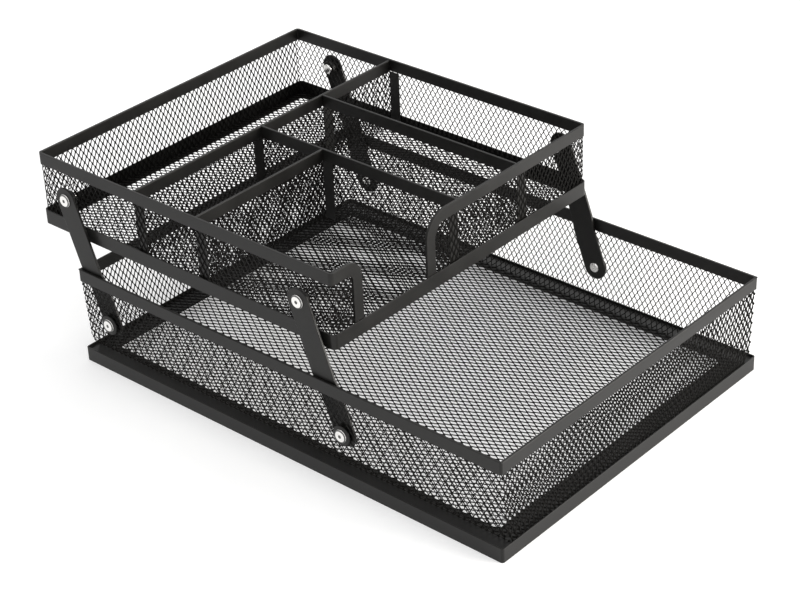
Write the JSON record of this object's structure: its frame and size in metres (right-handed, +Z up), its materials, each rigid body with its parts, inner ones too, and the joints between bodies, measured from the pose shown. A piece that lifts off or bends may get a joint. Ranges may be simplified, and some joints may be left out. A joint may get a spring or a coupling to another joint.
{
  "type": "two-tier desk organizer with swing-out upper tray",
  "caption": "Black wire-mesh desk organizer: a divided upper tray with a scooped front cut-out swings on riveted cranked links above a long open paper tray on a folded base frame",
  "frame": {"origin": "on the desk, under the middle of the whole organizer at rest", "axes": "+Z up, -Y front, where the open part of the lower tray and the cut-out face the user, +X to the right as seen from the front; Y is the long side"},
  "size_m": [0.2306, 0.3452, 0.1246],
  "materials": {
    "black_powder_coat": "satin black powder coat on steel sheet and expanded mesh",
    "bright_rivet": "bright nickel plate"
  },
  "bodies": {
    "lower_tray": {"base_band_back": "black_powder_coat", "base_band_front": "black_powder_coat", "base_band_left": "black_powder_coat", "base_band_right": "black_powder_coat", "lower_mesh_back": "black_powder_coat", "lower_mesh_floor": "black_powder_coat", "lower_mesh_front": "black_powder_coat", "lower_mesh_left": "black_powder_coat", "lower_mesh_right": "black_powder_coat", "lower_rim_back": "black_powder_coat", "lower_rim_front": "black_powder_coat", "lower_rim_left": "black_powder_coat", "lower_rim_right": "black_powder_coat", "lower_rivets": "bright_rivet", "lower_washers": "black_powder_coat"},
    "upper_tray": {"clip_divider_mesh": "black_powder_coat", "clip_divider_rim": "black_powder_coat", "cross_divider_mesh": "black_powder_coat", "cross_divider_rim": "black_powder_coat", "divider_tabs": "black_powder_coat", "middle_divider_mesh": "black_powder_coat", "middle_divider_rim": "black_powder_coat", "note_divider_mesh": "black_powder_coat", "note_divider_rim": "black_powder_coat", "upper_band_back": "black_powder_coat", "upper_band_front": "black_powder_coat", "upper_band_left": "black_powder_coat", "upper_band_right": "black_powder_coat", "upper_mesh_back": "black_powder_coat", "upper_mesh_floor": "black_powder_coat", "upper_mesh_front": "black_powder_coat", "upper_mesh_left": "black_powder_coat", "upper_mesh_right": "black_powder_coat", "upper_mesh_stub": "black_powder_coat", "upper_rim_back": "black_powder_coat", "upper_rim_front": "black_powder_coat", "upper_rim_left": "black_powder_coat", "upper_rim_right": "black_powder_coat", "upper_rim_stub": "black_powder_coat", "upper_rivets": "bright_rivet", "upper_spacers": "black_powder_coat"},
    "rear_left_link": {"rear_left_link": "black_powder_coat"},
    "front_left_link": {"front_left_link": "black_powder_coat"},
    "rear_right_link": {"rear_right_link": "black_powder_coat"},
    "front_right_link": {"front_right_link": "black_powder_coat"}
  },
  "joints": [
    {"name": "tray_swing", "type": "hinge", "parent": "lower_tray", "child": "rear_left_link", "pos_m": [-0.11045, 0.11958, 0.0308], "axis": [1, 0, 0], "range_deg": [0, 70]},
    {"name": "front_left_swing", "type": "hinge", "parent": "lower_tray", "child": "front_left_link", "pos_m": [-0.11045, -0.06212, 0.0308], "axis": [1, 0, 0], "range_deg": [0, 70]},
    {"name": "rear_right_swing", "type": "hinge", "parent": "lower_tray", "child": "rear_right_link", "pos_m": [0.11045, 0.11958, 0.0308], "axis": [1, 0, 0], "range_deg": [0, 70]},
    {"name": "front_right_swing", "type": "hinge", "parent": "lower_tray", "child": "front_right_link", "pos_m": [0.11045, -0.06212, 0.0308], "axis": [1, 0, 0], "range_deg": [0, 70]},
    {"name": "tray_level", "type": "hinge", "parent": "rear_left_link", "child": "upper_tray", "pos_m": [-0.11185, 0.14631, 0.10344], "axis": [1, 0, 0], "range_deg": [-70, 0]}
  ],
  "couplings": [
    {"joint": "front_left_swing", "follows": "tray_swing", "ratio": 1},
    {"joint": "rear_right_swing", "follows": "tray_swing", "ratio": 1},
    {"joint": "front_right_swing", "follows": "tray_swing", "ratio": 1},
    {"joint": "tray_level", "follows": "tray_swing", "ratio": -1}
  ]
}
